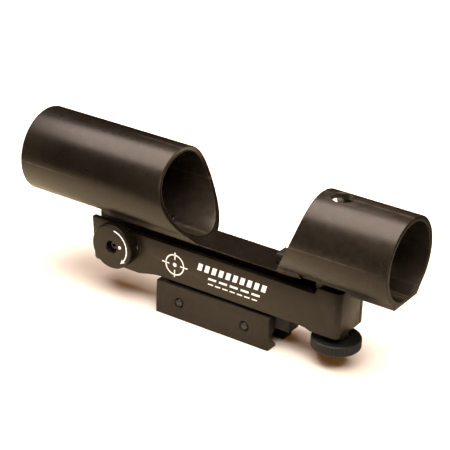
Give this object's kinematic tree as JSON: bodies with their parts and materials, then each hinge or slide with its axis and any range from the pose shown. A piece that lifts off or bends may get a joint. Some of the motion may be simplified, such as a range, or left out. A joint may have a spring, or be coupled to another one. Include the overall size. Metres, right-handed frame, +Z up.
{
  "type": "red dot finder",
  "caption": "Black anodised reflex sight: split tube over a channel housing with azimuth and altitude knobs, an LED aiming dot, and a screw-tightened dovetail clamp foot.",
  "frame": {"origin": "middle of the base bar's underside, the seat that rests on the rail", "axes": "+X along the sight tube towards the eye end, +Z up, the azimuth knob on the -Y side"},
  "size_m": [0.1539, 0.032, 0.0636],
  "materials": {
    "anodised": "fine bead-blasted black anodising with a soft satin sheen",
    "anodised_dark": "matt black anodising, darker inside and in grooves",
    "knob_black": "black knurled wheel, dull on the ridges",
    "steel": "bright turned steel",
    "screw_black": "blackened steel",
    "brass": "turned brass",
    "nickel": "nickel plate",
    "plastic": "moulded black plastic",
    "board": "green solder mask",
    "lens_glass": "coated glass with a faint red-gold reflection",
    "led_red": "clear red epoxy",
    "print_white": "white screen print"
  },
  "bodies": {
    "housing": {"housing": "anodised", "side_cover": "anodised", "cover_screw_1": "screw_black", "cover_screw_2": "screw_black", "altitude_pin": "steel", "azimuth_bush": "brass", "altitude_bush": "brass", "altitude_spring": "steel", "base_screw_1": "steel", "base_screw_2": "steel", "circuit_board": "board", "dimmer_potentiometer": "plastic", "battery_cell": "nickel", "battery_contact": "nickel", "base_bar": "anodised_dark", "near_jaw": "anodised"},
    "arm": {"tilt_arm": "anodised_dark", "altitude_nut": "brass", "azimuth_pivot_screw": "steel"},
    "sight": {"sight_tube": "anodised", "objective_lens": "lens_glass", "lens_front_ring": "anodised_dark", "lens_seat_ring": "anodised_dark", "keel": "anodised_dark", "keel_screw_1": "steel", "keel_screw_2": "steel", "azimuth_nut": "brass", "led_housing": "plastic", "led": "led_red", "pinhole_disc": "steel", "led_lead": "plastic"},
    "azimuth_adjuster": {"azimuth_knob": "anodised", "azimuth_screw": "screw_black"},
    "altitude_adjuster": {"altitude_knob": "knob_black", "altitude_screw": "steel", "altitude_clip": "steel"},
    "dimmer": {"dimmer_knob": "knob_black"},
    "battery_cover": {"battery_cap": "anodised"},
    "jaw": {"far_jaw": "anodised"},
    "clamp_screw_front": {"clamp_screw_1": "screw_black"},
    "clamp_screw_rear": {"clamp_screw_2": "screw_black"}
  },
  "joints": [
    {"name": "altitude_tilt", "type": "hinge", "parent": "housing", "child": "arm", "pos_m": [-0.0352, 0, 0.0155], "axis": [0, 1, 0], "range_deg": [-1.2, 1.2], "deforming": ["altitude_spring"]},
    {"name": "azimuth_swing", "type": "hinge", "parent": "arm", "child": "sight", "pos_m": [0.0458, 0, 0.0257], "axis": [0, 0, 1], "range_deg": [-1.2, 1.2]},
    {"name": "azimuth_knob_turn", "type": "hinge", "parent": "housing", "child": "azimuth_adjuster", "pos_m": [-0.0419, 0, 0.0155], "axis": [0, 1, 0], "range_deg": [-1320, 1320]},
    {"name": "altitude_knob_turn", "type": "hinge", "parent": "housing", "child": "altitude_adjuster", "pos_m": [0.0471, 0, 0.0035], "axis": [0, 0, 1], "range_deg": [-1240, 1240]},
    {"name": "dimmer_turn", "type": "hinge", "parent": "housing", "child": "dimmer", "pos_m": [0.0273, 0, 0.0144], "axis": [0, -1, 0], "range_deg": [0, 270]},
    {"name": "battery_cap_turn", "type": "hinge", "parent": "housing", "child": "battery_cover", "pos_m": [0.0053, 0, 0.0144], "axis": [0, 1, 0], "range_deg": [0, 90]},
    {"name": "jaw_slide", "type": "slide", "parent": "housing", "child": "jaw", "axis": [0, 1, 0], "range_m": [0, 0.0015]},
    {"name": "clamp_screw_front_turn", "type": "hinge", "parent": "jaw", "child": "clamp_screw_front", "pos_m": [-0.0143, 0, -0.0005], "axis": [0, 1, 0], "range_deg": [0, 1080]},
    {"name": "clamp_screw_rear_turn", "type": "hinge", "parent": "jaw", "child": "clamp_screw_rear", "pos_m": [0.0139, 0, -0.0005], "axis": [0, 1, 0], "range_deg": [0, 1080]}
  ],
  "couplings": [
    {"joint": "azimuth_swing", "follows": "azimuth_knob_turn", "ratio": 0.00090738},
    {"joint": "altitude_tilt", "follows": "altitude_knob_turn", "ratio": 0.00096692},
    {"joint": "jaw_slide", "follows": "clamp_screw_front_turn", "m_per_rad": 0.000079577},
    {"joint": "clamp_screw_rear_turn", "follows": "clamp_screw_front_turn", "ratio": 1}
  ]
}
